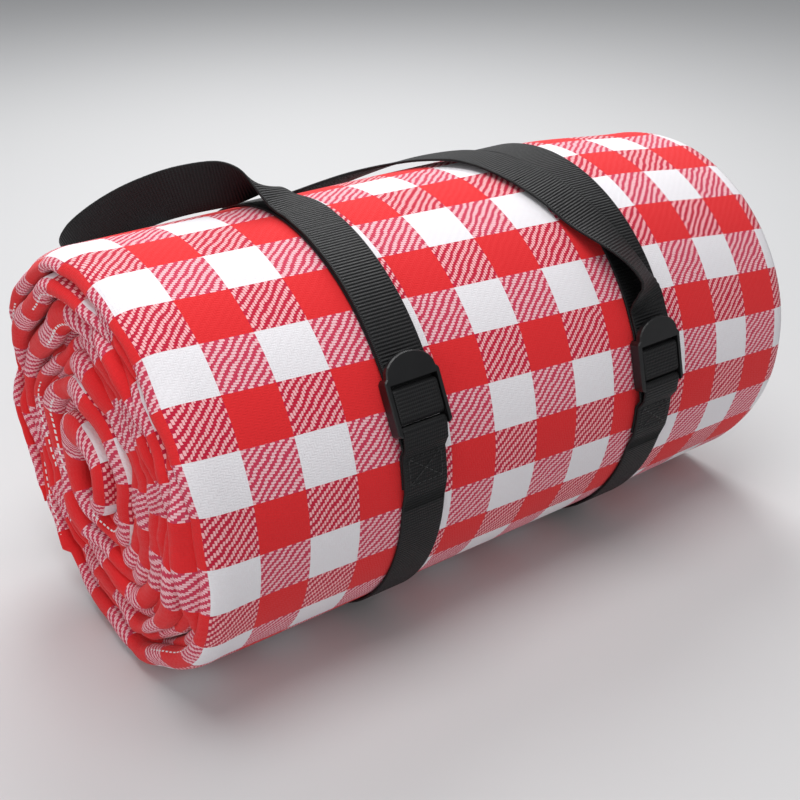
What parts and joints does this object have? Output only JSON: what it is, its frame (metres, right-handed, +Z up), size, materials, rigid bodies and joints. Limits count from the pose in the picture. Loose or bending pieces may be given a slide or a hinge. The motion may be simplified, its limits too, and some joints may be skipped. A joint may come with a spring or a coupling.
{
  "type": "rolled picnic blanket with carrier",
  "caption": "Rolled gingham picnic blanket held in a webbing carrier with ladder-lock buckles and a carry handle; the carrier slides off the roll.",
  "frame": {"origin": "middle of the bounding box at the base, where the undersides of the straps rest", "axes": "+X along the roll towards its open-edge end, +Z up, the buckles face -Y"},
  "size_m": [0.386, 0.232, 0.2319],
  "materials": {
    "face_cloth": "red and white gingham twill, matt",
    "foam": "soft white foam",
    "backing": "coated waterproof film, low sheen",
    "binding": "stitched edge tape, matt",
    "webbing": "black ribbed webbing, slight sheen",
    "buckle": "black moulded plastic, satin",
    "thread": "black sewing thread"
  },
  "bodies": {
    "rolled_blanket": {"blanket_face_cloth": "face_cloth", "blanket_foam": "foam", "blanket_backing": "backing", "blanket_end_binding": "binding"},
    "carrier": {"left_loop_strap": "webbing", "left_box_stitch": "thread", "left_tail_strap": "webbing", "right_loop_strap": "webbing", "right_box_stitch": "thread", "right_tail_strap": "webbing"},
    "left_lock": {"left_buckle": "buckle", "left_strap_in_buckle": "webbing"},
    "right_lock": {"right_buckle": "buckle", "right_strap_in_buckle": "webbing"},
    "handle": {"carry_handle": "webbing"}
  },
  "joints": [
    {"name": "carrier_slide", "type": "slide", "parent": "rolled_blanket", "child": "carrier", "axis": [1, 0, 0], "range_m": [-0.285, 0.285]},
    {"name": "left_buckle_lift", "type": "hinge", "parent": "carrier", "child": "left_lock", "pos_m": [-0.0752, -0.10661, 0.1374], "axis": [1, 0, 0], "range_deg": [0, 35], "stiffness_Nm_per_rad": 0.05},
    {"name": "right_buckle_lift", "type": "hinge", "parent": "carrier", "child": "right_lock", "pos_m": [0.0775, -0.11124, 0.11546], "axis": [1, 0, 0], "range_deg": [0, 35], "stiffness_Nm_per_rad": 0.05},
    {"name": "handle_lift", "type": "hinge", "parent": "carrier", "child": "handle", "pos_m": [0, -0.01541, 0.21314], "axis": [1, 0, 0], "range_deg": [0, 120]}
  ]
}
